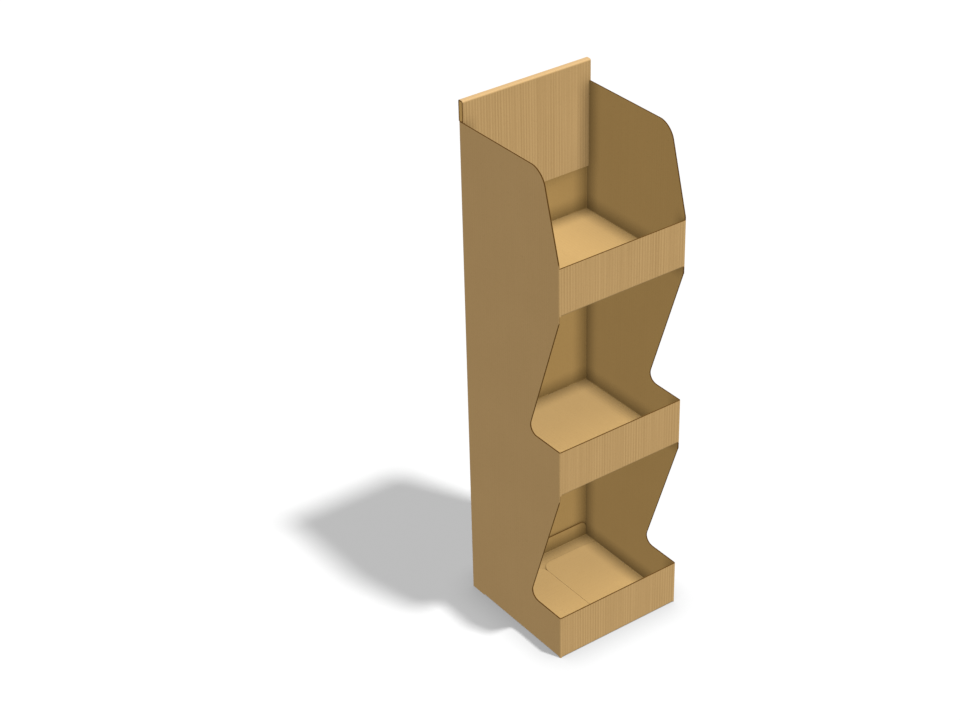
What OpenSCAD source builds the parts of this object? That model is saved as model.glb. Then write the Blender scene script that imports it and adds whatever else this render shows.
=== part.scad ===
// Cardboard floor display: one die-cut sheet of corrugated board, folded into a
// narrow tower with three open tiers, a tucked base and a folded-over header.
// Millimetres. The origin is the middle of the footprint, on the floor.
// +Z is up and the open front faces -Y.

/* [Stand] */
// Width over the side walls
stand_w = 300; // [220:1:420]
// Depth from the front lips to the outside of the back
stand_d = 300; // [240:1:420]
// Height of the side walls
side_h = 1080; // [1000:1:1300]

/* [Board] */
// Thickness of the corrugated board
board = 3; // [2:0.5:6]
// Inside radius of a fold
bend_in = 0.5; // [0.5:0.25:2]
// Room between a panel's cut edge and the wall beside it
fit_gap = 1; // [0.5:0.25:2]
// Room between two layers that lie on each other
layer_gap = 0.3; // [0.2:0.1:0.8]
// Width of the glue strips between the two back panels
glue_w = 25; // [15:1:30]
// Distance from the stand's sides, top and foot to the glue strips
glue_inset = 12; // [8:1:20]

/* [Tiers] */
// Number of tiers, each with a front lip
tiers = 3; // [2:1:3]
// Height from one tier's floor to the next
tier_pitch = 400; // [320:1:440]
// Height of each front lip
lip_h = 100; // [60:1:140]
// Width of the tabs that hold a shelf's rear edge
tab_w = 50; // [30:1:70]
// Distance between the middles of a shelf's two tabs
tab_spacing = 150; // [100:1:160]

/* [Side outline] */
// How far back the slope beside the top tier runs
top_slope_run = 50; // [20:1:90]
// Radius at the head of that slope
top_round = 40; // [15:1:60]
// How far back the cut-outs beside the lower tiers reach
cut_run = 100; // [60:1:140]
// How far below the lip above a cut-out starts
cut_drop = 10; // [4:1:30]
// Radius at the low rear corner of a cut-out
cut_round = 20; // [8:1:30]

/* [Header] */
// How far the header stands above the side walls
header_rise = 45; // [25:1:90]
// Depth of the header over its two folds
header_depth = 14; // [13:0.5:26]
// Height of the header's folded-down front panel
header_panel_h = 225; // [120:1:260]
// How far the header's ends stay inside the stand's width
header_inset = 0.5; // [0:0.25:3]

/* [Base] */
// How far the tuck panel stays inside the stand's width under the dust flaps
tuck_inset = 36; // [30:1:60]
// Height of the tuck flap behind the base, from the floor
tuck_flap_h = 39; // [25:1:80]
// Radius of the tuck flap's top corners
tuck_round = 16; // [4:1:20]
// Distance from the stand's front to the rear edge of the dust flaps
dust_reach = 259; // [150:1:270]
// Radius of the dust flaps' rear corners
dust_round = 25; // [5:1:40]
// Flat strip of a dust flap on the floor, before it rises over the tuck panel
dust_flat = 2; // [1:0.5:5]
// Gap where the two dust flaps meet
dust_gap = 0.6; // [0.4:0.1:3]

/* [Hidden] */
$fn = 64;

kraft = [0.72, 0.59, 0.39];
half_w = stand_w / 2;
front = -stand_d / 2;
back = stand_d / 2;
bend_out = bend_in + board;
// Inner faces of the side walls, and the panels that fit between them
inner_x = half_w - board;
panel_x = inner_x - fit_gap;
// The second back panel lies inside the outer one
inner_back_rear = back - board - layer_gap;
inner_back_face = inner_back_rear - board;
shelf_rear = inner_back_face - fit_gap;
tab_end = back - board - layer_gap;
// The dust flaps lie on the tuck panel
base_top = board + layer_gap;
tuck_x = half_w - tuck_inset;
tuck_rear = inner_back_face - layer_gap;
dust_front = front + bend_out + fit_gap;
dust_rear = front + dust_reach;
header_top = side_h + header_rise;
header_front = back - header_depth;
header_low = header_top - header_panel_h;
header_step = side_h + fit_gap;
top_lip_top = (tiers - 1) * tier_pitch + lip_h;
// Overrun of a cutting shape past what it cuts
over = 1;
// How far a straight side dips into the arc that it runs into
arc_overlap = 0.01;

function unit(v) = v / norm(v);
function corner_angle(p, a, b) = acos(unit(a - p) * unit(b - p));
// Middle of the arc that rounds corner p between the directions of a and b
function round_middle(p, a, b, r) =
    p + unit(unit(a - p) + unit(b - p)) * r / sin(corner_angle(p, a, b) / 2);
// Point where the side towards a ends, just inside that arc so that the two cross
function round_end(p, a, b, r) =
    let (touch = p + unit(a - p) * r / tan(corner_angle(p, a, b) / 2))
    touch + unit(round_middle(p, a, b, r) - touch) * arc_overlap;

// Polygon a, p, b and any further points, with corner p rounded
module rounded_polygon(p, a, b, r, further = []) {
    middle = round_middle(p, a, b, r);
    polygon(concat([a, round_end(p, a, b, r), middle, round_end(p, b, a, r), b], further));
    translate(middle) circle(r);
}

// Section of a fold, swept from one angle to another about the fold's middle
module bend(from, to) {
    far = 2 * bend_out;
    intersection() {
        difference() {
            circle(bend_out);
            circle(bend_in);
        }
        polygon([[0, 0], far * [cos(from), sin(from)], far * [cos(to), sin(to)]]);
    }
}

// Raises a plan outline from one height to another
module raised(low, high) {
    translate([0, 0, low]) linear_extrude(high - low) children();
}

// Runs a section drawn in Y and Z along the width, centred
module across(width) {
    translate([-width / 2, 0, 0]) rotate([90, 0, 90]) linear_extrude(width) children();
}

// Stands an outline drawn in X and Z up as a panel with its front face at y
module upright(y) {
    translate([0, y + board, 0]) rotate([90, 0, 0]) linear_extrude(board) children();
}

// Both mirror images of a left-hand shape
module both_sides() {
    children();
    mirror([1, 0, 0]) children();
}

// Outline of a side wall in Y and Z, before the lower tiers are cut out
module side_outline() {
    rounded_polygon([front + top_slope_run, side_h], [front, top_lip_top], [back, side_h], top_round,
        [[back, 0], [front, 0]]);
}

// Opening cut out of a side wall under the lip of one tier
module side_cut(tier) {
    corner = [front + cut_run, (tier - 1) * tier_pitch + lip_h];
    start = [front, tier * tier_pitch - cut_drop];
    rounded_polygon(corner, start + over * unit(start - corner), [front - over, corner.y], cut_round);
}

// Room in a side wall for the fold of its dust flap
module dust_fold_room() {
    translate([dust_front, -over]) square([dust_rear - dust_front, bend_out + over]);
}

module side_walls_outline() {
    difference() {
        side_outline();
        for (tier = [1 : tiers - 1]) side_cut(tier);
        dust_fold_room();
    }
}

// Both side walls in plan, each with its half of the front fold and its back fold
module side_walls_plan() {
    wall_front = front + bend_out;
    both_sides() translate([bend_out - half_w, wall_front]) bend(180, 225);
    translate([-half_w, wall_front]) square([board, back - bend_out - wall_front]);
    translate([bend_out - half_w, back - bend_out]) bend(90, 180);
    translate([inner_x, wall_front]) square([board, inner_back_rear - bend_out - wall_front]);
    translate([half_w - bend_out, inner_back_rear - bend_out]) bend(0, 90);
}

module side_walls() {
    intersection() {
        raised(0, side_h) side_walls_plan();
        across(stand_w) side_walls_outline();
    }
}

// Front lip of one tier, with its halves of the corner folds and the fold under it
module lip(tier) {
    floor_z = tier * tier_pitch;
    flat_w = stand_w - 2 * bend_out;
    raised(floor_z + bend_out, floor_z + lip_h) translate([-flat_w / 2, front]) square([flat_w, board]);
    both_sides() raised(floor_z, floor_z + lip_h)
        translate([bend_out - half_w, front + bend_out]) bend(225, 270);
    across(2 * panel_x) translate([front + bend_out, floor_z + bend_out]) bend(180, 270);
}

// Shelf folded back from its lip, with two tabs at its rear edge
module shelf(tier) {
    floor_z = tier * tier_pitch;
    raised(floor_z, floor_z + board) {
        translate([-panel_x, front + bend_out]) square([2 * panel_x, shelf_rear - front - bend_out]);
        both_sides() translate([-(tab_spacing + tab_w) / 2, shelf_rear])
            square([tab_w, tab_end - shelf_rear]);
    }
}

// Slots in the inner back panel for the tabs of one shelf
module tab_slots(tier) {
    slot_h = board + 2 * layer_gap;
    slot_w = tab_w + 2 * fit_gap;
    both_sides() translate([-(tab_spacing + slot_w) / 2, tier * tier_pitch - layer_gap])
        square([slot_w, slot_h]);
}

// Panel folded back from the lowest lip to close the base, with its flap tucked up behind
module tuck_panel() {
    fold_y = tuck_rear - bend_out;
    wide_y = dust_rear + fit_gap;
    raised(0, board) {
        translate([-tuck_x, front + bend_out]) square([2 * tuck_x, fold_y - front - bend_out]);
        translate([-panel_x, wide_y]) square([2 * panel_x, fold_y - wide_y]);
    }
    across(2 * panel_x) translate([fold_y, bend_out]) bend(270, 360);
    upright(tuck_rear - board) intersection() {
        both_sides() rounded_polygon([-panel_x, tuck_flap_h], [-panel_x, bend_out], [0, tuck_flap_h],
            tuck_round, [[0, bend_out]]);
        translate([-panel_x, bend_out]) square([2 * panel_x, tuck_flap_h - bend_out]);
    }
}

// Section of the left dust flap in X and Z: flat on the floor, then up over the tuck panel
module dust_section(fold_x, end_x) {
    rise_from = fold_x + dust_flat;
    rise_to = -tuck_x - fit_gap;
    low_line = [[fold_x, 0], [rise_from, 0], [rise_to, base_top], [end_x, base_top]];
    high_line = [for (i = [3 : -1 : 0]) low_line[i] + [0, board]];
    polygon(concat(low_line, high_line));
}

// Flap folded in from the foot of each side wall, over the tuck panel
module dust_flaps() {
    meeting_x = -dust_gap / 2;
    fold_x = bend_out - half_w;
    both_sides() {
        intersection() {
            translate([0, back, 0]) rotate([90, 0, 0]) linear_extrude(stand_d)
                dust_section(fold_x, meeting_x + over);
            raised(-over, base_top + board + over)
                rounded_polygon([meeting_x, dust_rear], [fold_x, dust_rear], [meeting_x, dust_front],
                    dust_round, [[fold_x, dust_front]]);
        }
        translate([fold_x, dust_rear, bend_out]) rotate([90, 0, 0])
            linear_extrude(dust_rear - dust_front) bend(180, 270);
    }
}

// Second back panel, folded in from the right side wall, with slots for the shelves
module inner_back() {
    upright(inner_back_face) difference() {
        translate([-panel_x, 0]) square([panel_x + half_w - bend_out, side_h]);
        for (tier = [1 : tiers - 1]) tab_slots(tier);
    }
}

// Glue between the two back panels, along the inner panel's two upright edges
module glue_strips() {
    both_sides() translate([glue_inset - half_w, inner_back_rear, glue_inset])
        cube([glue_w, layer_gap, side_h - 2 * glue_inset]);
}

// Outer back panel, folded from the left side wall and carried up into the header
module outer_back() {
    header_x = half_w - header_inset;
    upright(back - board) {
        translate([bend_out - half_w, 0]) square([header_x + half_w - bend_out, header_step]);
        translate([-header_x, header_step]) square([2 * header_x, header_top - bend_out - header_step]);
    }
}

// Top of the header: two folds with a narrow spine between them
module header_folds() {
    across(stand_w - 2 * header_inset) {
        translate([back - bend_out, header_top - bend_out]) bend(0, 90);
        translate([header_front + bend_out, header_top - board]) square([header_depth - 2 * bend_out, board]);
        translate([header_front + bend_out, header_top - bend_out]) bend(90, 180);
    }
}

// Front panel of the header, narrower where it hangs between the side walls
module header_panel() {
    header_x = half_w - header_inset;
    upright(header_front) {
        translate([-header_x, header_step]) square([2 * header_x, header_top - bend_out - header_step]);
        translate([-panel_x, header_low]) square([2 * panel_x, header_step - header_low]);
    }
}

module folded_display() {
    color(kraft) {
        side_walls();
        for (tier = [0 : tiers - 1]) lip(tier);
        for (tier = [1 : tiers - 1]) shelf(tier);
        tuck_panel();
        dust_flaps();
        inner_back();
        glue_strips();
        outer_back();
        header_folds();
        header_panel();
    }
}

folded_display();
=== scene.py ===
"""Looks of a floor display folded from one sheet of corrugated kraft board.

The board is built as it is made: two paper liners with a fluted medium between them.
Each layer is drawn flat as the die-cut blank, cut along its crease lines and folded up.
"""

import logging
import math
from dataclasses import dataclass, field
from enum import Enum
from typing import Callable

import bmesh
import bpy
from mathutils import Matrix, Vector


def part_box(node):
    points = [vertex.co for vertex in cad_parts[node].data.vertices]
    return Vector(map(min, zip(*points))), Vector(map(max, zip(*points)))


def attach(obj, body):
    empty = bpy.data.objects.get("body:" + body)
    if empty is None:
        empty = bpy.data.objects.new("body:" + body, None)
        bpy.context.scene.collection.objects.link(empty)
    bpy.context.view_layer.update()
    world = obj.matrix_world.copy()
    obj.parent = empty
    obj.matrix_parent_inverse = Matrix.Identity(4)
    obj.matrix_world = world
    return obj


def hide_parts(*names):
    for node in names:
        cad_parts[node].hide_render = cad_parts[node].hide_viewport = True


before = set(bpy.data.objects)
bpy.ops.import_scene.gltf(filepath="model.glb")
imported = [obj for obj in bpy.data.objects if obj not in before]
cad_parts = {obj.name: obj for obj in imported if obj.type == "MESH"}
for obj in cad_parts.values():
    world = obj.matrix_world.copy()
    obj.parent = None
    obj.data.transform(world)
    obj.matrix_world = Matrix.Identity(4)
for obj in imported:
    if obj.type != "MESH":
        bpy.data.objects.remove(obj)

LOG = logging.getLogger("folded_display")
MM = 0.001
CAD_NODE = "folded_display"
BODY = "root"
FLAT_MAP = "blank"
WEAR_MAP = "fold_wear"
STREAK_MAP = "streaks"
# Mesh map that says where painted shade may darken the paper's nooks.
PAINTED_SHADE_MAP = "painted_shade"
CUT_SNAP = 1e-6
WELD = 1e-5
FAINT_STREAKS = 0.15
SEED_SPREAD = (1.0, 0.7, 1.3)

FlatPoint = tuple[float, float]
Colour = tuple[float, float, float]
Span = tuple[float, float]
Lift = Callable[[float], float]
Socket = bpy.types.NodeSocket
SocketValue = float | tuple[float, ...] | Socket


class Run(Enum):
    """Direction of a line on the flat blank, as the index of the coordinate that it holds fixed."""

    ALONG_FLUTES = 0
    ACROSS_FLUTES = 1


class Plane(Enum):
    """Wall that a panel lies in before its folds are made, as its turn about the upright axis."""

    FRONT = 0.0
    BACK = math.pi


@dataclass(frozen=True)
class Board:
    """Make-up of the corrugated board, in metres.

    The liners' ripple is the faint washboard that the flutes press through them. A bend is cut into steps.
    """

    thickness: float = 3.0 * MM
    liner: float = 0.35 * MM
    medium: float = 0.25 * MM
    flute_pitch: float = 6.5 * MM
    bend_in: float = 0.5 * MM
    ripple: float = 0.035 * MM
    bend_steps: int = 6

    @property
    def bend_out(self) -> float:
        """Outside radius of a fold."""
        return self.bend_in + self.thickness

    @property
    def bend_mid(self) -> float:
        """Radius of a fold at the middle of the board."""
        return self.bend_in + self.thickness / 2

    @property
    def arc(self) -> float:
        """Length of board taken up by a right-angled fold, at its middle."""
        return self.bend_mid * math.pi / 2

    @property
    def bend_step(self) -> float:
        """Length of board between two cuts of a bend."""
        return self.arc / self.bend_steps

    @property
    def flute_swing(self) -> float:
        """Distance from the middle of the board to the crest of a flute."""
        return self.thickness / 2 - self.liner - self.medium / 2


@dataclass(frozen=True)
class StandSizes:
    """Sizes of the stand in metres; the outer three come from the frame."""

    width: float
    depth: float
    height: float
    side_h: float = 1080 * MM
    tiers: int = 3
    tier_pitch: float = 400 * MM
    lip_h: float = 100 * MM
    fit_gap: float = 1.0 * MM
    layer_gap: float = 0.3 * MM
    tab_w: float = 50 * MM
    tab_spacing: float = 150 * MM
    top_slope_run: float = 50 * MM
    top_round: float = 40 * MM
    cut_run: float = 100 * MM
    cut_drop: float = 10 * MM
    cut_round: float = 20 * MM
    header_depth: float = 14 * MM
    header_panel_h: float = 225 * MM
    header_inset: float = 0.5 * MM
    tuck_inset: float = 36 * MM
    tuck_flap_h: float = 39 * MM
    tuck_round: float = 16 * MM
    dust_reach: float = 259 * MM
    dust_round: float = 25 * MM
    dust_flat: float = 2.0 * MM
    dust_gap: float = 0.6 * MM

    @property
    def half_w(self) -> float:
        """Half of the outer width."""
        return self.width / 2

    @property
    def front(self) -> float:
        """Y of the outer front face."""
        return -self.depth / 2

    @property
    def back(self) -> float:
        """Y of the outer back face."""
        return self.depth / 2


@dataclass(frozen=True)
class Fold:
    """A right-angled fold towards the inside of the stand.

    Attributes:
        run: which flat coordinate the crease holds fixed.
        start: that coordinate where the bend begins.
        sense: +1 or -1, the side of the crease that is folded in.
    """

    run: Run
    start: float
    sense: int

    def lines(self, board: Board) -> list[float]:
        """Places of the cuts that divide the bend, with one on the flat board at each end."""
        return [self.start + self.sense * board.bend_step * i for i in range(-1, board.bend_steps + 2)]

    def bend(self, point: Vector, board: Board) -> Vector:
        """Moves a point of the blank to its place after the fold.

        Args:
            point: flat coordinates and the height outside the board's middle.
            board: the board that is folded.

        Returns:
            The folded point, in the same coordinates.
        """
        beyond = self.sense * (point[self.run.value] - self.start)
        if beyond <= 0:
            return point
        radius = board.bend_mid
        turn = min(beyond / radius, math.pi / 2)
        extra = max(0.0, beyond - board.arc)
        lifted = radius + point.z
        folded = point.copy()
        reach = lifted * math.sin(turn) + extra * math.cos(turn)
        folded[self.run.value] = self.start + self.sense * reach
        folded.z = lifted * math.cos(turn) - radius - extra * math.sin(turn)
        return folded

    def wear(self, flat: FlatPoint, board: Board) -> float:
        """How strongly the bend creases a flat point: 1 in the middle, falling to 0 at its ends."""
        share = self.sense * (flat[self.run.value] - self.start) / board.arc
        return math.sin(math.pi * share) if 0 < share < 1 else 0.0


@dataclass(frozen=True)
class Ramp:
    """Gentle rise of a flap over the edge of the panel under it.

    Attributes:
        start: flat coordinate along the flutes where the flap starts to rise.
        end: that coordinate where it lies flat again, below the start.
        rise: height gained.
    """

    start: float
    end: float
    rise: float

    def height(self, v: float) -> float:
        """Height gained at a flat coordinate."""
        share = (self.start - v) / (self.start - self.end)
        return self.rise * min(max(share, 0.0), 1.0)


@dataclass
class Panel:
    """One panel of the blank: a flat outline, its rounded corners, slots and folds.

    Attributes:
        name: the panel's name.
        outline: flat corners, in order, anticlockwise seen from outside.
        folds: folds to make, the farthest from the front wall first.
        plane: wall that the unfolded panel lies in.
        rounds: radius of each rounded corner, by its place in the outline.
        slots: flat rectangles cut out, as low and high corners.
        levels: extra cuts across the flutes, where a neighbour has a corner.
        streaks: how clearly the flutes show through the paper, as streaks and as painted shade across each
            flute.
        plain_to: height on the blank up to which streaks stay faint and no painted shade darkens the nooks.
        ramp: rise over a neighbour, if any.
        round_steps: cuts of a rounded corner.
    """

    name: str
    outline: list[FlatPoint]
    folds: list[Fold] = field(default_factory=list)
    plane: Plane = Plane.FRONT
    rounds: dict[int, float] = field(default_factory=dict)
    slots: list[tuple[FlatPoint, FlatPoint]] = field(default_factory=list)
    levels: list[float] = field(default_factory=list)
    streaks: float = FAINT_STREAKS
    plain_to: float = -math.inf
    ramp: Ramp | None = None
    round_steps: int = 10

    def _round_corners(self, bm: bmesh.types.BMesh, corners: list[bmesh.types.BMVert]) -> None:
        """Rounds the named corners of the flat face.

        Args:
            bm: the mesh that holds the face.
            corners: the face's vertices, in the outline's order.
        """
        for place, radius in self.rounds.items():
            here = Vector(self.outline[place])
            before = Vector(self.outline[place - 1])
            after = Vector(self.outline[(place + 1) % len(self.outline)])
            angle = (before - here).angle(after - here)
            bmesh.ops.bevel(bm, geom=[corners[place]], offset=radius / math.tan(angle / 2),
                            offset_type="OFFSET", segments=self.round_steps, profile=0.5, affect="VERTICES",
                            material=-1)

    def _cut(self, bm: bmesh.types.BMesh, run: Run, place: float) -> None:
        """Cuts the flat panel along one line.

        Args:
            bm: the flat panel.
            run: which flat coordinate the line holds fixed.
            place: that coordinate.
        """
        middle = Vector((0.0, 0.0, 0.0))
        middle[run.value] = place
        normal = Vector((0.0, 0.0, 0.0))
        normal[run.value] = 1.0
        geometry = bm.verts[:] + bm.edges[:] + bm.faces[:]
        bmesh.ops.bisect_plane(bm, geom=geometry, dist=CUT_SNAP, plane_co=middle, plane_no=normal)

    def _cut_slots(self, bm: bmesh.types.BMesh) -> None:
        """Cuts each slot's edges and takes out the board inside them.

        Args:
            bm: the flat panel.
        """
        for low, high in self.slots:
            for run in Run:
                self._cut(bm, run, low[run.value])
                self._cut(bm, run, high[run.value])
            inside = [f for f in bm.faces
                      if all(low[i] < f.calc_center_median()[i] < high[i] for i in range(2))]
            bmesh.ops.delete(bm, geom=inside, context="FACES")

    def flat(self, board: Board, flute_step: float) -> bmesh.types.BMesh:
        """Draws the panel flat, cut along its folds, levels and flutes.

        Args:
            board: the board that it is made of.
            flute_step: distance between the cuts along the flutes.

        Returns:
            The flat panel, with its blank coordinates and fold wear stored.
        """
        bm = bmesh.new()
        corners = [bm.verts.new((u, v, 0.0)) for u, v in self.outline]
        bm.faces.new(corners)
        self._round_corners(bm, corners)
        self._cut_slots(bm)
        for fold in self.folds:
            for place in fold.lines(board):
                self._cut(bm, fold.run, place)
        rise = [self.ramp.start, self.ramp.end] if self.ramp else []
        for level in self.levels + rise:
            self._cut(bm, Run.ACROSS_FLUTES, level)
        low = min(u for u, _ in self.outline)
        high = max(u for u, _ in self.outline)
        for i in range(math.ceil(low / flute_step), math.floor(high / flute_step) + 1):
            self._cut(bm, Run.ALONG_FLUTES, i * flute_step)
        self._store_maps(bm, board)
        return bm

    def _store_maps(self, bm: bmesh.types.BMesh, board: Board) -> None:
        """Keeps each corner's place on the blank and each point's fold wear, streaks and painted nook
        shade.

        Args:
            bm: the flat panel.
            board: the board that it is made of.
        """
        flat_map = bm.loops.layers.uv.new(FLAT_MAP)
        wear_map = bm.verts.layers.float.new(WEAR_MAP)
        streak_map = bm.verts.layers.float.new(STREAK_MAP)
        painted_shade_map = bm.verts.layers.float.new(PAINTED_SHADE_MAP)
        for vert in bm.verts:
            plain = vert.co.y < self.plain_to
            vert[streak_map] = FAINT_STREAKS if plain else self.streaks
            # Painted nook shade is left off the plain part of the blank.
            vert[painted_shade_map] = 0.0 if plain else 1.0
            vert[wear_map] = max([f.wear((vert.co.x, vert.co.y), board) for f in self.folds], default=0.0)
        for face in bm.faces:
            for loop in face.loops:
                loop[flat_map].uv = loop.vert.co.xy

    def fold_up(self, bm: bmesh.types.BMesh, board: Board, sizes: StandSizes, lift: Lift) -> None:
        """Lifts the flat panel to its layer, folds it and puts it on its wall.

        Args:
            bm: the flat panel, which is changed.
            board: the board that it is made of.
            sizes: the stand's sizes.
            lift: height outside the board's middle at a flat place across the flutes.
        """
        middle = Matrix.Translation((0.0, (board.thickness - sizes.depth) / 2, 0.0))
        upright = Matrix.Rotation(math.pi / 2, 4, "X")
        wall = Matrix.Rotation(self.plane.value, 4, "Z") @ middle @ upright
        for vert in bm.verts:
            rise = self.ramp.height(vert.co.y) if self.ramp else 0.0
            point = Vector((vert.co.x, vert.co.y, lift(vert.co.x) - rise))
            for fold in self.folds:
                point = fold.bend(point, board)
            vert.co = wall @ point


@dataclass
class Blank:
    """The die-cut blank of the whole stand, as its list of panels."""

    board: Board
    sizes: StandSizes

    def __post_init__(self) -> None:
        """Works out the lines that several panels share."""
        board, sizes = self.board, self.sizes
        self.bend_x = sizes.half_w - board.bend_out
        self.panel_x = sizes.half_w - board.thickness - sizes.fit_gap
        self.wall_y = sizes.front + board.bend_out
        self.inner_back_rear = sizes.back - board.thickness - sizes.layer_gap
        self.inner_back_face = self.inner_back_rear - board.thickness
        self.shelf_rear = self.inner_back_face - sizes.fit_gap
        self.base_top = board.thickness + sizes.layer_gap
        self.dust_front = self.wall_y + sizes.fit_gap
        self.tuck_x = sizes.half_w - sizes.tuck_inset
        self.dust_rear = sizes.front + sizes.dust_reach
        self.header_step = sizes.side_h + sizes.fit_gap
        self.crease = self.bend_x + board.arc / 2
        self.front_left = Fold(Run.ALONG_FLUTES, -self.bend_x, -1)
        self.front_right = Fold(Run.ALONG_FLUTES, self.bend_x, 1)
        self.levels = [sizes.side_h]
        for tier in range(sizes.tiers):
            low = tier * sizes.tier_pitch
            hinge = low + board.bend_out
            self.levels += [low, hinge, hinge + board.bend_step, low + sizes.lip_h]

    def side_place(self, y: float) -> float:
        """Flat place, across the flutes, of a right-hand side wall's point from its depth in the stand."""
        return self.bend_x + self.board.arc + y - self.wall_y

    def lip(self, tier: int) -> Panel:
        """Front lip of a tier, with half of each corner fold.

        Args:
            tier: the tier, from 0 at the base.

        Returns:
            The lip's panel.
        """
        low = tier * self.sizes.tier_pitch
        hinge = low + self.board.bend_out
        high = low + self.sizes.lip_h
        x = self.panel_x
        outline = [(-self.crease, low), (-x, low), (-x, hinge), (x, hinge), (x, low),
                   (self.crease, low), (self.crease, high), (-self.crease, high)]
        folds = [self.front_left, self.front_right]
        return Panel(f"lip_{tier}", outline, folds, levels=self.levels, streaks=1.0)

    def hinge(self, tier: int) -> Fold:
        """Fold under the lip of a tier, which carries the tier's floor; tier 0 is the base."""
        return Fold(Run.ACROSS_FLUTES, tier * self.sizes.tier_pitch + self.board.bend_out, -1)

    def shelf(self, tier: int) -> Panel:
        """Shelf folded back from its lip, with two tabs at its rear edge.

        Args:
            tier: the tier, from 1 upwards.

        Returns:
            The shelf's panel.
        """
        sizes, x = self.sizes, self.panel_x
        hinge = self.hinge(tier)
        rear = hinge.start - self.board.arc - (self.shelf_rear - self.wall_y)
        tab_end = rear - (self.inner_back_rear - self.shelf_rear)
        tab_near = (sizes.tab_spacing - sizes.tab_w) / 2
        tab_far = (sizes.tab_spacing + sizes.tab_w) / 2
        rear_edge: list[FlatPoint] = [(-x, rear)]
        for near, far in ((-tab_far, -tab_near), (tab_near, tab_far)):
            rear_edge += [(near, rear), (near, tab_end), (far, tab_end), (far, rear)]
        rear_edge.append((x, rear))
        return Panel(f"shelf_{tier}", rear_edge + [(x, hinge.start), (-x, hinge.start)], [hinge])

    def tuck_panel(self) -> Panel:
        """Panel that closes the base, with its flap tucked up inside the back.

        Returns:
            The tuck panel.
        """
        sizes, board, x, narrow = self.sizes, self.board, self.panel_x, self.tuck_x
        hinge = self.hinge(0)
        tuck_rear = self.inner_back_face - sizes.layer_gap
        fold = hinge.start - board.arc - (tuck_rear - board.bend_out - self.wall_y)
        end = fold - board.arc - (sizes.tuck_flap_h - board.bend_out)
        step = hinge.start - board.arc - (self.dust_rear + sizes.fit_gap - self.wall_y)
        relief = hinge.start - board.arc
        outline = [(-x, end), (x, end), (x, step), (narrow, step), (narrow, relief), (x, relief),
                   (x, hinge.start), (-x, hinge.start), (-x, relief), (-narrow, relief), (-narrow, step),
                   (-x, step)]
        flap_fold = Fold(Run.ACROSS_FLUTES, fold, -1)
        rounds = {0: sizes.tuck_round, 1: sizes.tuck_round}
        return Panel("tuck_panel", outline, [flap_fold, hinge], rounds=rounds)

    def side_outline(self, rear: float) -> tuple[list[FlatPoint], dict[int, float]]:
        """Outline of the right-hand side wall, from its front crease to its rear.

        Args:
            rear: flat place of the wall's rear edge.

        Returns:
            The outline and the radii of its rounded corners.
        """
        sizes, board = self.sizes, self.board
        crease_y = board.bend_out * (1 - math.sqrt(0.5))
        fold_low = board.bend_out
        flap_near, flap_far = self.side_place(self.dust_front), self.side_place(self.dust_rear)
        points: list[FlatPoint] = [(self.crease, 0.0), (flap_near, 0.0), (flap_near, fold_low),
                                   (flap_far, fold_low), (flap_far, 0.0), (rear, 0.0), (rear, sizes.side_h)]
        rounds: dict[int, float] = {}
        top_lip_top = (sizes.tiers - 1) * sizes.tier_pitch + sizes.lip_h
        rise = (sizes.side_h - top_lip_top) / sizes.top_slope_run
        rounds[len(points)] = sizes.top_round
        points.append((self.side_place(sizes.front + sizes.top_slope_run), sizes.side_h))
        points.append((self.crease, top_lip_top + rise * crease_y))
        for tier in range(sizes.tiers - 1, 0, -1):
            start = tier * sizes.tier_pitch - sizes.cut_drop
            flat = (tier - 1) * sizes.tier_pitch + sizes.lip_h
            fall = (start - flat) / sizes.cut_run
            points.append((self.crease, start - fall * crease_y))
            rounds[len(points)] = sizes.cut_round
            points.append((self.side_place(sizes.front + sizes.cut_run), flat))
            points.append((self.crease, flat))
        return points, rounds

    def side(self, left: bool) -> Panel:
        """A side wall, with half of its front fold and its whole back fold.

        Args:
            left: True for the left-hand wall.

        Returns:
            The wall's panel.
        """
        rear_y = self.sizes.back if left else self.inner_back_rear
        start = self.side_place(rear_y - self.board.bend_out)
        outline, rounds = self.side_outline(start + self.board.arc)
        if not left:
            folds = [Fold(Run.ALONG_FLUTES, start, 1), self.front_right]
            return Panel("right_side", outline, folds, rounds=rounds, levels=self.levels)
        mirrored = [(-u, v) for u, v in reversed(outline)]
        mirrored_rounds = {len(outline) - 1 - place: radius for place, radius in rounds.items()}
        folds = [Fold(Run.ALONG_FLUTES, -start, -1), self.front_left]
        return Panel("left_side", mirrored, folds, rounds=mirrored_rounds, levels=self.levels)

    def dust_flap(self, left: bool) -> Panel:
        """Flap folded in from the foot of a side wall, over the tuck panel.

        Args:
            left: True for the left-hand flap.

        Returns:
            The flap's panel.
        """
        hinge = self.hinge(0)
        foot = hinge.start - self.board.arc
        end = foot - (self.bend_x - self.sizes.dust_gap / 2)
        ramp_end = foot - (self.bend_x - self.tuck_x - self.sizes.fit_gap)
        ramp = Ramp(foot - self.sizes.dust_flat, ramp_end, self.base_top)
        near, far = self.side_place(self.dust_front), self.side_place(self.dust_rear)
        outline = [(near, end), (far, end), (far, hinge.start), (near, hinge.start)]
        if not left:
            rounds = {1: self.sizes.dust_round}
            return Panel("right_dust_flap", outline, [hinge, self.front_right], rounds=rounds, ramp=ramp)
        mirrored = [(-u, v) for u, v in reversed(outline)]
        rounds = {2: self.sizes.dust_round}
        return Panel("left_dust_flap", mirrored, [hinge, self.front_left], rounds=rounds, ramp=ramp)

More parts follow.
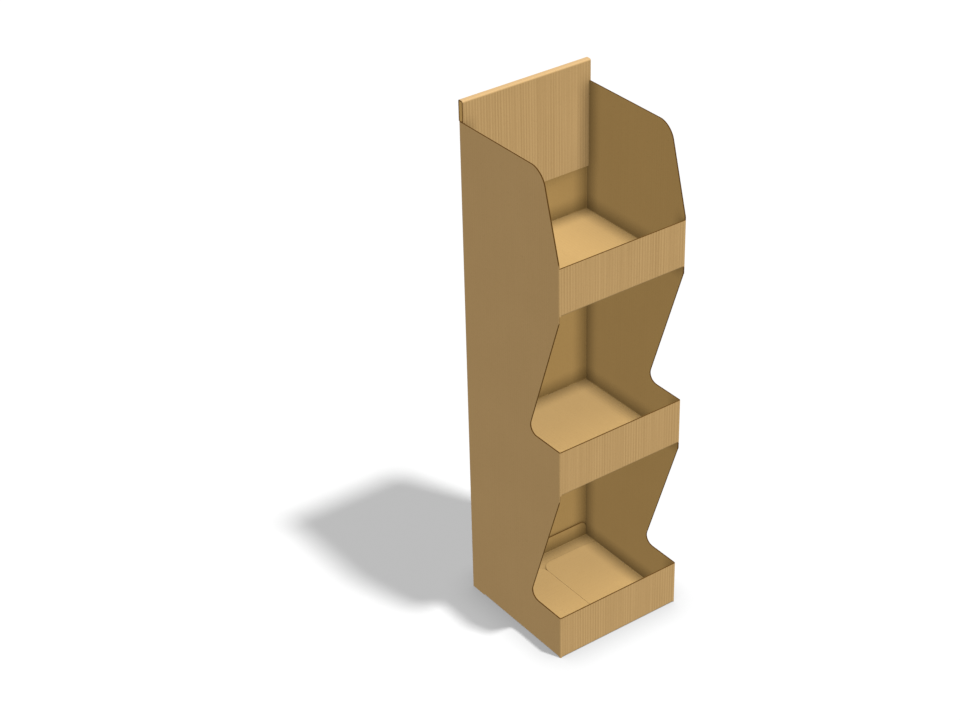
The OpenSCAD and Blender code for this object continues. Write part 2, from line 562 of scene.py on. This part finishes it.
    def inner_back(self) -> Panel:
        """Second back panel, folded in from the right side wall, slotted for the shelves.

        Returns:
            The inner back panel.
        """
        sizes, board = self.sizes, self.board
        fold = Fold(Run.ALONG_FLUTES, self.side_place(self.inner_back_rear - board.bend_out), 1)
        near = fold.start + board.arc
        far = near + self.bend_x + self.panel_x
        slots = []
        for tier in range(1, sizes.tiers):
            low = tier * sizes.tier_pitch - sizes.layer_gap
            high = low + board.thickness + 2 * sizes.layer_gap
            half = sizes.tab_w / 2 + sizes.fit_gap
            for x in (-sizes.tab_spacing / 2, sizes.tab_spacing / 2):
                middle = near + self.bend_x - x
                slots.append(((middle - half, low), (middle + half, high)))
        outline = [(near, 0.0), (far, 0.0), (far, sizes.side_h), (near, sizes.side_h)]
        return Panel("inner_back", outline, [fold, self.front_right], slots=slots, levels=self.levels)

    def outer_back(self) -> Panel:
        """Outer back panel, carried up and folded forward and down as the header.

        Returns:
            The outer back panel with the header.
        """
        sizes, board = self.sizes, self.board
        wide = sizes.half_w - sizes.header_inset
        top = Fold(Run.ACROSS_FLUTES, sizes.height - board.bend_out, 1)
        spine = sizes.header_depth - 2 * board.bend_out
        front_top = Fold(Run.ACROSS_FLUTES, top.start + board.arc + spine, 1)
        step = front_top.start + board.arc + top.start - self.header_step
        end = front_top.start + board.arc + sizes.header_panel_h - board.bend_out
        outline = [(-wide, 0.0), (self.bend_x, 0.0), (self.bend_x, self.header_step),
                   (wide, self.header_step), (wide, step), (self.panel_x, step), (self.panel_x, end),
                   (-self.panel_x, end), (-self.panel_x, step), (-wide, step)]
        return Panel("outer_back", outline, [front_top, top], plane=Plane.BACK, levels=self.levels,
                     streaks=1.0, plain_to=front_top.start + board.arc)

    def panels(self) -> list[Panel]:
        """Every panel of the blank.

        Returns:
            The panels, from the front outwards.
        """
        tiers = range(self.sizes.tiers)
        found = [self.lip(tier) for tier in tiers]
        found += [self.shelf(tier) for tier in tiers if tier > 0]
        found += [self.tuck_panel(), self.side(left=True), self.side(left=False)]
        found += [self.dust_flap(left=True), self.dust_flap(left=False)]
        found += [self.inner_back(), self.outer_back()]
        return found


class Shader:
    """Small helper that adds nodes to a material and links them."""

    def __init__(self, name: str) -> None:
        """Starts an empty material with its output.

        Args:
            name: the material's name.
        """
        self.material = bpy.data.materials.new(name)
        self.material.use_nodes = True
        self.tree = self.material.node_tree
        self.tree.nodes.clear()
        self.output = self.tree.nodes.new("ShaderNodeOutputMaterial")

    def node(self, kind: str, inputs: dict[str | int, SocketValue] | None = None,
             **settings: str | int | bool) -> bpy.types.Node:
        """Adds a node.

        Args:
            kind: the node's type name, without its common prefix.
            inputs: socket name or number to a value or an output socket.
            settings: properties of the node.

        Returns:
            The new node.
        """
        made = self.tree.nodes.new("ShaderNode" + kind)
        for key, value in settings.items():
            setattr(made, key, value)
        for key, value in (inputs or {}).items():
            if isinstance(value, Socket):
                self.tree.links.new(value, made.inputs[key])
            else:
                made.inputs[key].default_value = value
        return made

    def math(self, operation: str, *values: SocketValue) -> Socket:
        """Adds a Math node and gives its output."""
        return self.node("Math", dict(enumerate(values)), operation=operation).outputs[0]

    def mix(self, share: SocketValue, low: SocketValue, high: SocketValue) -> Socket:
        """Mixes two colours, by the share of the second."""
        return self.node("Mix", {0: share, 6: low, 7: high}, data_type="RGBA").outputs[2]

    def stretch(self, value: Socket, span: Span, onto: Span = (0.0, 1.0)) -> Socket:
        """Stretches one span of a value onto another and holds it there."""
        return self.node("MapRange", dict(enumerate((value, *span, *onto)))).outputs[0]

    def attribute(self, name: str) -> Socket:
        """Number that the mesh holds at each point under a name."""
        return self.node("Attribute", attribute_name=name).outputs["Fac"]

    def finish(self, kind: str, inputs: dict[str | int, SocketValue]) -> bpy.types.Material:
        """Adds the surface's own shader and closes the material.

        Args:
            kind: the shader node's type name, without its common prefix.
            inputs: socket name or number to a value or an output socket.

        Returns:
            The finished material.
        """
        surface = self.node(kind, inputs)
        self.tree.links.new(surface.outputs[0], self.output.inputs[0])
        return self.material


def opaque(colour: Colour, shade: float = 1.0) -> tuple[float, float, float, float]:
    """Gives a linear colour the form that a socket takes, made lighter or darker by a factor."""
    red, green, blue = (min(1.0, shade * part) for part in colour)
    return red, green, blue, 1.0


@dataclass(frozen=True)
class Grain:
    """Noise laid on the blank.

    Attributes:
        across: features per metre across the flutes.
        along: features per metre along the flutes.
        detail: octaves of detail.
        seed: offset that sets this noise apart.
    """

    across: float
    along: float
    detail: float
    seed: float

    def add(self, shader: Shader) -> Socket:
        """Adds the noise to a material.

        Args:
            shader: the material in the making.

        Returns:
            The noise, from 0 to 1.
        """
        flat = shader.node("UVMap", uv_map=FLAT_MAP).outputs[0]
        offset = tuple(self.seed * share for share in SEED_SPREAD)
        mapping = shader.node("Mapping", {0: flat, 1: offset, 3: (self.across, self.along, 1.0)})
        inputs = {"Vector": mapping.outputs[0], "Scale": 1.0, "Detail": self.detail}
        return shader.node("TexNoise", inputs).outputs[0]


@dataclass(frozen=True)
class KraftPaper:
    """Unbleached kraft paper that follows the blank: fibres, flecks, flute streaks with painted flute
    shade, crease wear, and painted shade in its nooks.

    Colours are linear; lengths are in metres. A weight is how much one thing adds to the paper's tone, and
    a span is the range of a noise or of the tone that is stretched to a whole scale.
    """

    name: str
    colour: Colour
    dark: Colour
    flute_pitch: float
    cloud: Grain = Grain(9.0, 9.0, 3.0, 3.1)
    fibre: Grain = Grain(900.0, 260.0, 4.0, 11.7)
    fine_streak: Grain = Grain(420.0, 3.0, 3.0, 23.9)
    broad_streak: Grain = Grain(95.0, 1.6, 2.0, 37.3)
    fleck: Grain = Grain(520.0, 380.0, 2.0, 51.1)
    swell: Grain = Grain(22.0, 2.0, 1.0, 67.7)
    cloud_weight: float = 0.12
    fibre_weight: float = 0.25
    fine_weight: float = 0.6
    broad_weight: float = 0.25
    flute_shade_weight: float = 0.17
    streak_weight: float = 0.95
    swell_span: Span = (0.35, 0.65)
    tone_span: Span = (-0.005, 0.375)
    fleck_span: Span = (0.64, 0.72)
    fleck_cover: float = 0.25
    fleck_shade: float = 0.55
    wear_cover: float = 0.18
    wear_shade: float = 1.25
    # Painted shade in the nooks: its reach, samples, strength and near-black colour.
    nook_reach: float = 0.038
    nook_samples: int = 6
    nook_shade_power: float = 1.35
    painted_shade: Colour = (0.033, 0.015, 0.0)
    roughness: float = 0.86
    rough_swing: float = 0.12
    shine: float = 0.1
    flute_height: float = 0.35
    fibre_height: float = 0.5
    bump: float = 0.22
    bump_depth: float = 0.1 * MM

    def _flutes(self, shader: Shader) -> Socket:
        """Washboard of the flutes under the paper.

        Args:
            shader: the material in the making.

        Returns:
            A wave across the flutes, from -1 to 1.
        """
        flat = shader.node("UVMap", uv_map=FLAT_MAP).outputs[0]
        place = shader.node("SeparateXYZ", {0: flat}).outputs[0]
        return shader.math("SINE", shader.math("MULTIPLY", place, 2 * math.pi / self.flute_pitch))

    def _streaks(self, shader: Shader, flutes: Socket) -> Socket:
        """Streaks along the flutes and painted shade across each flute, as strong as the mesh asks at each
        point.

        Args:
            shader: the material in the making.
            flutes: the washboard of the flutes.

        Returns:
            The tone of the streaks and of the painted flute shade, above and below zero.
        """
        # Painted shade: the colour darkens and lightens across each flute, as the washboard would be lit.
        lines = shader.math("MULTIPLY", flutes, shader.stretch(self.swell.add(shader), self.swell_span))
        broad = shader.math("MULTIPLY", self.broad_streak.add(shader), self.broad_weight)
        streaks = shader.math("MULTIPLY_ADD", self.fine_streak.add(shader), self.fine_weight, broad)
        streaks = shader.math("SUBTRACT", streaks, (self.fine_weight + self.broad_weight) / 2)
        streaks = shader.math("MULTIPLY_ADD", lines, self.flute_shade_weight, streaks)
        shown = shader.math("MULTIPLY", shader.attribute(STREAK_MAP), self.streak_weight)
        return shader.math("MULTIPLY", streaks, shown)

    def _paint(self, shader: Shader, fibre: Socket, flutes: Socket) -> Socket:
        """Colour of the paper, worn pale at its creases, with painted shade darkening its nooks.

        Args:
            shader: the material in the making.
            fibre: the noise of the fibres.
            flutes: the washboard of the flutes.

        Returns:
            The colour.
        """
        tone = shader.math("MULTIPLY_ADD", fibre, self.fibre_weight, self._streaks(shader, flutes))
        tone = shader.math("MULTIPLY_ADD", self.cloud.add(shader), self.cloud_weight, tone)
        paper = shader.mix(shader.stretch(tone, self.tone_span), opaque(self.dark), opaque(self.colour))
        flecks = shader.stretch(self.fleck.add(shader), self.fleck_span, (0.0, self.fleck_cover))
        paper = shader.mix(flecks, paper, opaque(self.dark, self.fleck_shade))
        rubbed = shader.math("MULTIPLY", fibre, self.wear_cover)
        worn = shader.math("MULTIPLY", shader.attribute(WEAR_MAP), rubbed)
        paper = shader.mix(worn, paper, opaque(self.colour, self.wear_shade))
        # Painted shade: the paper darkens towards a near-black brown wherever other parts of the same layer
        # are close, as in corners and under edges.
        nook = shader.node("AmbientOcclusion", {"Distance": self.nook_reach}, samples=self.nook_samples,
                           only_local=True)
        shade_power = shader.math("MULTIPLY", shader.attribute(PAINTED_SHADE_MAP), self.nook_shade_power)
        unshaded = shader.math("POWER", nook.outputs["AO"], shade_power)
        return shader.mix(unshaded, opaque(self.painted_shade), paper)

    def material(self) -> bpy.types.Material:
        """Makes the material.

        Returns:
            The finished paper.
        """
        shader = Shader(self.name)
        fibre = self.fibre.add(shader)
        flutes = self._flutes(shader)
        paper = self._paint(shader, fibre, flutes)
        fibre_height = shader.math("MULTIPLY", fibre, self.fibre_height)
        height = shader.math("MULTIPLY_ADD", flutes, self.flute_height, fibre_height)
        bump = shader.node("Bump", {"Strength": self.bump, "Distance": self.bump_depth, "Height": height})
        rough = shader.math("MULTIPLY_ADD", fibre, self.rough_swing, self.roughness - self.rough_swing / 2)
        return shader.finish("BsdfPrincipled", {
            "Base Color": paper,
            "Roughness": rough,
            "Normal": bump.outputs[0],
            "Specular IOR Level": self.shine,
        })


@dataclass(frozen=True)
class EdgeAndFluteShade:
    """Raw die-cut paper edge, fuzzy and slightly uneven; dark partly as raw paper, partly as painted shade
    in the flutes. Scales are features per metre.
    """

    name: str
    colour: Colour
    dark: Colour
    fuzz_scale: float = 1400.0
    fuzz_detail: float = 3.0
    fuzz_weight: float = 0.6
    cloud_scale: float = 60.0
    cloud_detail: float = 2.0
    roughness: float = 0.95
    shine: float = 0.1
    bump: float = 0.3
    bump_depth: float = 0.1 * MM

    def material(self) -> bpy.types.Material:
        """Makes the material.

        Returns:
            The finished edge.
        """
        shader = Shader(self.name)
        place = shader.node("TexCoord").outputs["Object"]
        fuzz_inputs = {"Vector": place, "Scale": self.fuzz_scale, "Detail": self.fuzz_detail}
        fuzz = shader.node("TexNoise", fuzz_inputs).outputs[0]
        cloud_inputs = {"Vector": place, "Scale": self.cloud_scale, "Detail": self.cloud_detail}
        cloud = shader.node("TexNoise", cloud_inputs).outputs[0]
        soft = shader.math("MULTIPLY", cloud, 1 - self.fuzz_weight)
        share = shader.math("MULTIPLY_ADD", fuzz, self.fuzz_weight, soft)
        bump = shader.node("Bump", {"Strength": self.bump, "Distance": self.bump_depth, "Height": fuzz})
        return shader.finish("BsdfPrincipled", {
            "Base Color": shader.mix(share, opaque(self.dark), opaque(self.colour)),
            "Roughness": self.roughness,
            "Normal": bump.outputs[0],
            "Specular IOR Level": self.shine,
        })


@dataclass
class Layer:
    """One paper layer of the board, folded up from the blank.

    Attributes:
        name: the piece's name.
        lift: height of its outer face above the board's middle at a flat place across the flutes.
        thickness: the paper's thickness.
        flute_cuts: cuts made across each flute.
        faces: finish of its faces.
        edges: finish of its cut edges, and of the side that faces the flutes, whose dark colour there is
            painted shade.
        flutes_inside: True where the flutes lie on the inner side of the paper.
        sharp_angle: turn between two faces past which their edge looks sharp.
    """

    name: str
    lift: Lift
    thickness: float
    flute_cuts: int
    faces: bpy.types.Material
    edges: bpy.types.Material
    flutes_inside: bool
    sharp_angle: float = math.radians(38)

    def build(self, blank: Blank) -> bpy.types.Object:
        """Draws, folds and thickens the layer.

        Args:
            blank: the stand's blank.

        Returns:
            The finished layer.
        """
        sheet = bmesh.new()
        step = blank.board.flute_pitch / self.flute_cuts
        for panel in blank.panels():
            flat = panel.flat(blank.board, step)
            panel.fold_up(flat, blank.board, blank.sizes, self.lift)
            part = bpy.data.meshes.new(panel.name)
            flat.to_mesh(part)
            flat.free()
            sheet.from_mesh(part)
            bpy.data.meshes.remove(part)
        bmesh.ops.remove_doubles(sheet, verts=sheet.verts[:], dist=WELD)
        for face in sheet.faces:
            face.smooth = True
        mesh = bpy.data.meshes.new(self.name)
        sheet.to_mesh(mesh)
        sheet.free()
        piece = bpy.data.objects.new(self.name, mesh)
        bpy.context.scene.collection.objects.link(piece)
        mesh.materials.append(self.faces if self.flutes_inside else self.edges)
        mesh.materials.append(self.edges if self.flutes_inside else self.faces)
        self._thicken(piece)
        return piece

    def _thicken(self, piece: bpy.types.Object) -> None:
        """Gives the sheet its thickness inwards, with its cut edges in their own finish.

        Args:
            piece: the folded sheet, which is changed.
        """
        shell = piece.modifiers.new("paper", "SOLIDIFY")
        shell.thickness = self.thickness
        shell.offset = -1.0
        shell.use_even_offset = True
        shell.material_offset = 1
        shell.material_offset_rim = 1 if self.flutes_inside else 0
        bpy.context.view_layer.update()
        evaluated = piece.evaluated_get(bpy.context.evaluated_depsgraph_get())
        solid = bpy.data.meshes.new_from_object(evaluated)
        piece.modifiers.clear()
        old = piece.data
        piece.data = solid
        bpy.data.meshes.remove(old)
        solid.name = self.name
        solid.set_sharp_from_angle(angle=self.sharp_angle)


@dataclass
class FoldedSheet:
    """The stand's corrugated board: two liners and the fluted medium between them.

    Each layer is cut a number of times across every flute, the medium more often than the liners.
    """

    board: Board
    sizes: StandSizes
    outer_paper: KraftPaper
    shaded_inner_paper: KraftPaper
    # Dark finishes for the cut edges, the flute-facing sides and the medium: partly raw paper, partly
    # painted shade inside the flutes.
    liner_edge_and_shade: EdgeAndFluteShade
    medium: EdgeAndFluteShade
    liner_cuts: int = 4
    medium_cuts: int = 8

    def wave(self, u: float) -> float:
        """Wave of the flutes at a flat place across them, from -1 to 1."""
        return math.sin(2 * math.pi * u / self.board.flute_pitch)

    def outer_lift(self, u: float) -> float:
        """Outer face of the outer liner."""
        return self.board.thickness / 2 - self.board.ripple + self.board.ripple * self.wave(u)

    def inner_lift(self, u: float) -> float:
        """Outer face of the inner liner."""
        middle = -self.board.thickness / 2 + self.board.liner + self.board.ripple
        return middle + self.board.ripple * self.wave(u)

    def medium_lift(self, u: float) -> float:
        """Outer face of the fluted medium."""
        return self.board.flute_swing * self.wave(u) + self.board.medium / 2

    def build(self) -> list[bpy.types.Object]:
        """Builds the three layers.

        Returns:
            The pieces, outermost first.
        """
        blank = Blank(self.board, self.sizes)
        edge_and_shade = self.liner_edge_and_shade.material()
        fluting = self.medium.material()
        outer = self.outer_paper.material()
        inner = self.shaded_inner_paper.material()
        layers = [
            Layer("outer_liner", self.outer_lift, self.board.liner, self.liner_cuts, outer, edge_and_shade,
                  flutes_inside=True),
            Layer("fluted_medium", self.medium_lift, self.board.medium, self.medium_cuts, fluting, fluting,
                  flutes_inside=True),
            Layer("inner_liner", self.inner_lift, self.board.liner, self.liner_cuts, inner, edge_and_shade,
                  flutes_inside=False),
        ]
        return [layer.build(blank) for layer in layers]


@dataclass(frozen=True)
class Camera:
    """The photograph's camera, solved from its straight edges; pixels are of the 960 by 720 frame."""

    place: tuple[float, float, float] = (-2.2093, -2.8046, 2.8323)
    heading: float = math.radians(35.316)
    dip: float = math.radians(32.252)
    roll: float = math.radians(1.528)
    focal_pixels: float = 2164.1
    frame_pixels: float = 960.0
    sensor: float = 36.0
    reach: float = 100.0

    def build(self) -> bpy.types.Object:
        """Sets up the camera.

        Returns:
            The camera object.
        """
        data = bpy.data.cameras.new("camera")
        data.sensor_width = self.sensor
        data.sensor_fit = "HORIZONTAL"
        data.lens = self.focal_pixels * self.sensor / self.frame_pixels
        data.clip_end = self.reach
        camera = bpy.data.objects.new("camera", data)
        bpy.context.scene.collection.objects.link(camera)
        level = math.cos(self.dip)
        east, north = math.sin(self.heading), math.cos(self.heading)
        forward = Vector((east * level, north * level, -math.sin(self.dip)))
        right = Vector((north, -east, 0.0))
        down = forward.cross(right)
        turned = right * math.cos(self.roll) + down * math.sin(self.roll)
        turned_down = down * math.cos(self.roll) - right * math.sin(self.roll)
        axes = Matrix((turned, -turned_down, -forward)).transposed()
        camera.matrix_world = Matrix.Translation(self.place) @ axes.to_4x4()
        bpy.context.scene.camera = camera
        return camera


@dataclass(frozen=True)
class Sun:
    """A distant light, kept for some objects alone.

    Attributes:
        name: the light's name.
        fall: direction that its light travels in.
        strength: its strength.
        shadow: True where it casts shadows.
        angle: its width in the sky.
        colour: its colour.
    """

    name: str
    fall: tuple[float, float, float]
    strength: float
    shadow: bool = False
    angle: float = math.radians(4.2)
    colour: Colour = (1.0, 1.0, 1.0)

    def build(self, lit: list[bpy.types.Object]) -> bpy.types.Object:
        """Adds the light.

        Args:
            lit: the objects that it lights.

        Returns:
            The light.
        """
        light = bpy.data.lights.new(self.name, "SUN")
        light.energy = self.strength
        light.color = self.colour
        light.angle = self.angle
        light.use_shadow = self.shadow
        lamp = bpy.data.objects.new(self.name, light)
        lamp.rotation_euler = Vector(self.fall).to_track_quat("-Z", "Y").to_euler()
        bpy.context.scene.collection.objects.link(lamp)
        receivers = bpy.data.collections.new(self.name + "_lit")
        for piece in lit:
            receivers.objects.link(piece)
        lamp.light_linking.receiver_collection = receivers
        return lamp


@dataclass(frozen=True)
class Studio:
    """White floor, a high key light from the front right and soft fill from every side.

    The floor has a key of its own, which draws the stand's shadow. The stand's key has an open share, which
    reaches into the bays as reflectors would carry it, and a soft share from overhead, which the shelves
    keep from the tiers below. Fills come from all four sides, and a cool one from above. The stand's panels
    throw no light on one another, and the floor is shaded where the stand is near.
    """

    key_fall: tuple[float, float, float] = (-0.175, 0.388, -1.0)
    key_strength: float = 6.0
    soft_share: float = 0.345
    soft_fall: tuple[float, float, float] = (-0.12, 0.28, -1.0)
    soft_angle: float = math.radians(30)
    fill_strength: tuple[float, float] = (1.0, 0.63)
    top_fall: tuple[float, float, float] = (0.0, 0.0, -1.0)
    top_fill: float = 1.7
    top_colour: Colour = (0.15, 0.32, 1.0)
    floor_fill: float = 1.455
    floor_key: float = 3.55
    ambient: float = 0.55
    floor_colour: Colour = (0.5, 0.5, 0.5)
    floor_size: float = 40.0
    # Painted shade on the floor near the stand: its strength, reach and samples.
    contact_shade: float = 0.45
    contact_shade_reach: float = 0.07
    contact_shade_samples: int = 8

    def build(self, stand: list[bpy.types.Object]) -> None:
        """Sets up the floor, the lights and the plain colour transform.

        Args:
            stand: the pieces of the stand.
        """
        scene = bpy.context.scene
        scene.view_settings.view_transform = "Standard"
        scene.view_settings.look = "None"
        world = bpy.data.worlds.new("studio")
        world.use_nodes = True
        background = world.node_tree.nodes["Background"]
        background.inputs[0].default_value = (1.0, 1.0, 1.0, 1.0)
        background.inputs[1].default_value = self.ambient
        scene.world = world
        for piece in stand:
            piece.visible_diffuse = False
        self._light(stand, self._floor())

    def _light(self, stand: list[bpy.types.Object], floor: bpy.types.Object) -> None:
        """Sets up the lights.

        Args:
            stand: the pieces of the stand.
            floor: the floor.
        """
        open_key = self.key_strength * (1 - self.soft_share)
        soft_key = self.key_strength * self.soft_share
        Sun("floor_key", self.key_fall, self.floor_key, shadow=True).build([floor])
        Sun("stand_key", self.key_fall, open_key).build(stand)
        Sun("stand_soft_key", self.soft_fall, soft_key, shadow=True, angle=self.soft_angle).build(stand)
        Sun("floor_fill", self.top_fall, self.floor_fill).build([floor])
        Sun("top_fill", self.top_fall, self.top_fill, colour=self.top_colour).build(stand)
        across, along = self.fill_strength
        Sun("right_fill", (-1.0, 0.0, 0.0), across).build(stand)
        Sun("left_fill", (1.0, 0.0, 0.0), across).build(stand)
        Sun("back_fill", (0.0, -1.0, 0.0), along).build(stand)
        Sun("front_fill", (0.0, 1.0, 0.0), along).build(stand)

    def _floor(self) -> bpy.types.Object:
        """Lays the floor, which throws no light back on the stand, with painted shade where the stand is
        near.

        Returns:
            The floor.
        """
        bm = bmesh.new()
        bmesh.ops.create_grid(bm, x_segments=1, y_segments=1, size=self.floor_size / 2)
        mesh = bpy.data.meshes.new("floor")
        bm.to_mesh(mesh)
        bm.free()
        floor = bpy.data.objects.new("floor", mesh)
        bpy.context.scene.collection.objects.link(floor)
        shader = Shader("floor")
        # Painted shade: the floor's colour darkens where the stand is near.
        near = shader.node("AmbientOcclusion", {"Distance": self.contact_shade_reach},
                           samples=self.contact_shade_samples)
        unshaded_share = shader.stretch(near.outputs["AO"], (0.0, 1.0), (1.0 - self.contact_shade, 1.0))
        colour = shader.mix(unshaded_share, opaque(self.floor_colour, 0.0), opaque(self.floor_colour))
        mesh.materials.append(shader.finish("BsdfDiffuse", {0: colour}))
        floor.visible_diffuse = False
        return floor


def stand_sizes() -> StandSizes:
    """Takes the stand's outer sizes from the frame.

    Returns:
        The stand's sizes.
    """
    low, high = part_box(CAD_NODE)
    outer = high - low
    return StandSizes(width=outer.x, depth=outer.y, height=outer.z)


def main() -> None:
    """Builds the stand, the studio and the camera."""
    logging.basicConfig(level=logging.INFO)
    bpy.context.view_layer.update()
    board = Board()
    outer = KraftPaper("outer_kraft", colour=(0.378, 0.244, 0.1025), dark=(0.304, 0.190, 0.0755),
                       flute_pitch=board.flute_pitch)
    # The inner liner's paper is a darker, more saturated copy of the outer paper: its own tone with painted
    # shade for the inside of the stand.
    inner = KraftPaper("inner_kraft", colour=(0.325, 0.2005, 0.0662), dark=(0.2615, 0.1563, 0.0487),
                       flute_pitch=board.flute_pitch)
    # Edges and medium are dark partly as raw cut paper and partly as painted shade inside the flutes.
    edge_and_shade = EdgeAndFluteShade("liner_edge_and_flute_shade", colour=(0.12, 0.055, 0.008), dark=(0.07, 0.03, 0.004))
    medium = EdgeAndFluteShade("fluted_medium", colour=(0.12, 0.058, 0.010), dark=(0.07, 0.033, 0.006))
    sheet = FoldedSheet(board, stand_sizes(), outer, inner, edge_and_shade, medium)
    pieces = sheet.build()
    for piece in pieces:
        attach(piece, BODY)
        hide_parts(CAD_NODE)
        LOG.info("%s: %d faces", piece.name, len(piece.data.polygons))
    Studio().build(pieces)
    Camera().build()


if __name__ == "__main__":
    main()
